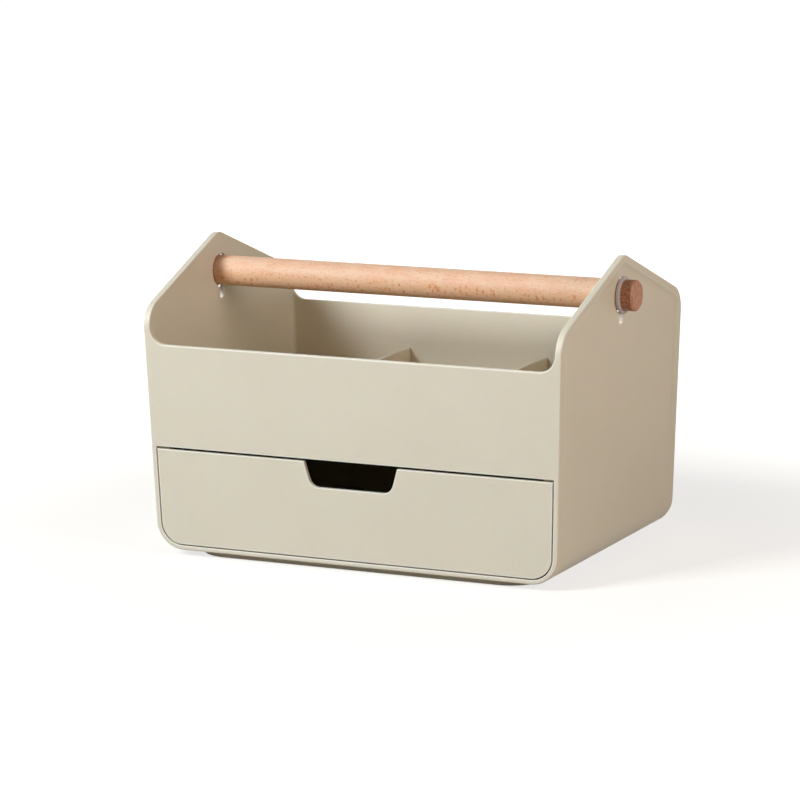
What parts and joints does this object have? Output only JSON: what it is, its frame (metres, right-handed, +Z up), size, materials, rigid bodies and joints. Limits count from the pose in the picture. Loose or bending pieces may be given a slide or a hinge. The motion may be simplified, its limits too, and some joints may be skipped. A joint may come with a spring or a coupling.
{
  "type": "drawer storage box",
  "caption": "Carry box with gabled ends, an open divided tray over one full-width drawer, and a dowel handle.",
  "frame": {"origin": "centre of the footprint on the surface that the box stands on", "axes": "+X to the right across the width, along the dowel handle; -Y towards the front, where the drawer opens; +Z up"},
  "size_m": [0.3148, 0.2026, 0.2003],
  "materials": {
    "cream_plastic": "matte moulded",
    "beech": "sanded, unvarnished",
    "clear_bush": "translucent, satin"
  },
  "bodies": {
    "box": {"housing": "cream_plastic", "foot_ring": "cream_plastic", "tray_floor": "cream_plastic"},
    "drawer": {"drawer": "cream_plastic"},
    "handle": {"handle_dowel": "beech", "bush_left": "clear_bush", "bush_right": "clear_bush"},
    "divider_left": {"divider_left": "cream_plastic"},
    "divider_right": {"divider_right": "cream_plastic"}
  },
  "joints": [
    {"name": "drawer_slide", "type": "slide", "parent": "box", "child": "drawer", "axis": [0, -1, 0], "range_m": [0, 0.14]},
    {"name": "handle_turn", "type": "hinge", "parent": "box", "child": "handle", "pos_m": [0, -0.0015, 0.17476], "axis": [1, 0, 0], "continuous": true},
    {"name": "divider_left_lift", "type": "slide", "parent": "box", "child": "divider_left", "axis": [0, 0, 1], "range_m": [0, 0.05]},
    {"name": "divider_right_lift", "type": "slide", "parent": "box", "child": "divider_right", "axis": [0, 0, 1], "range_m": [0, 0.05]}
  ]
}
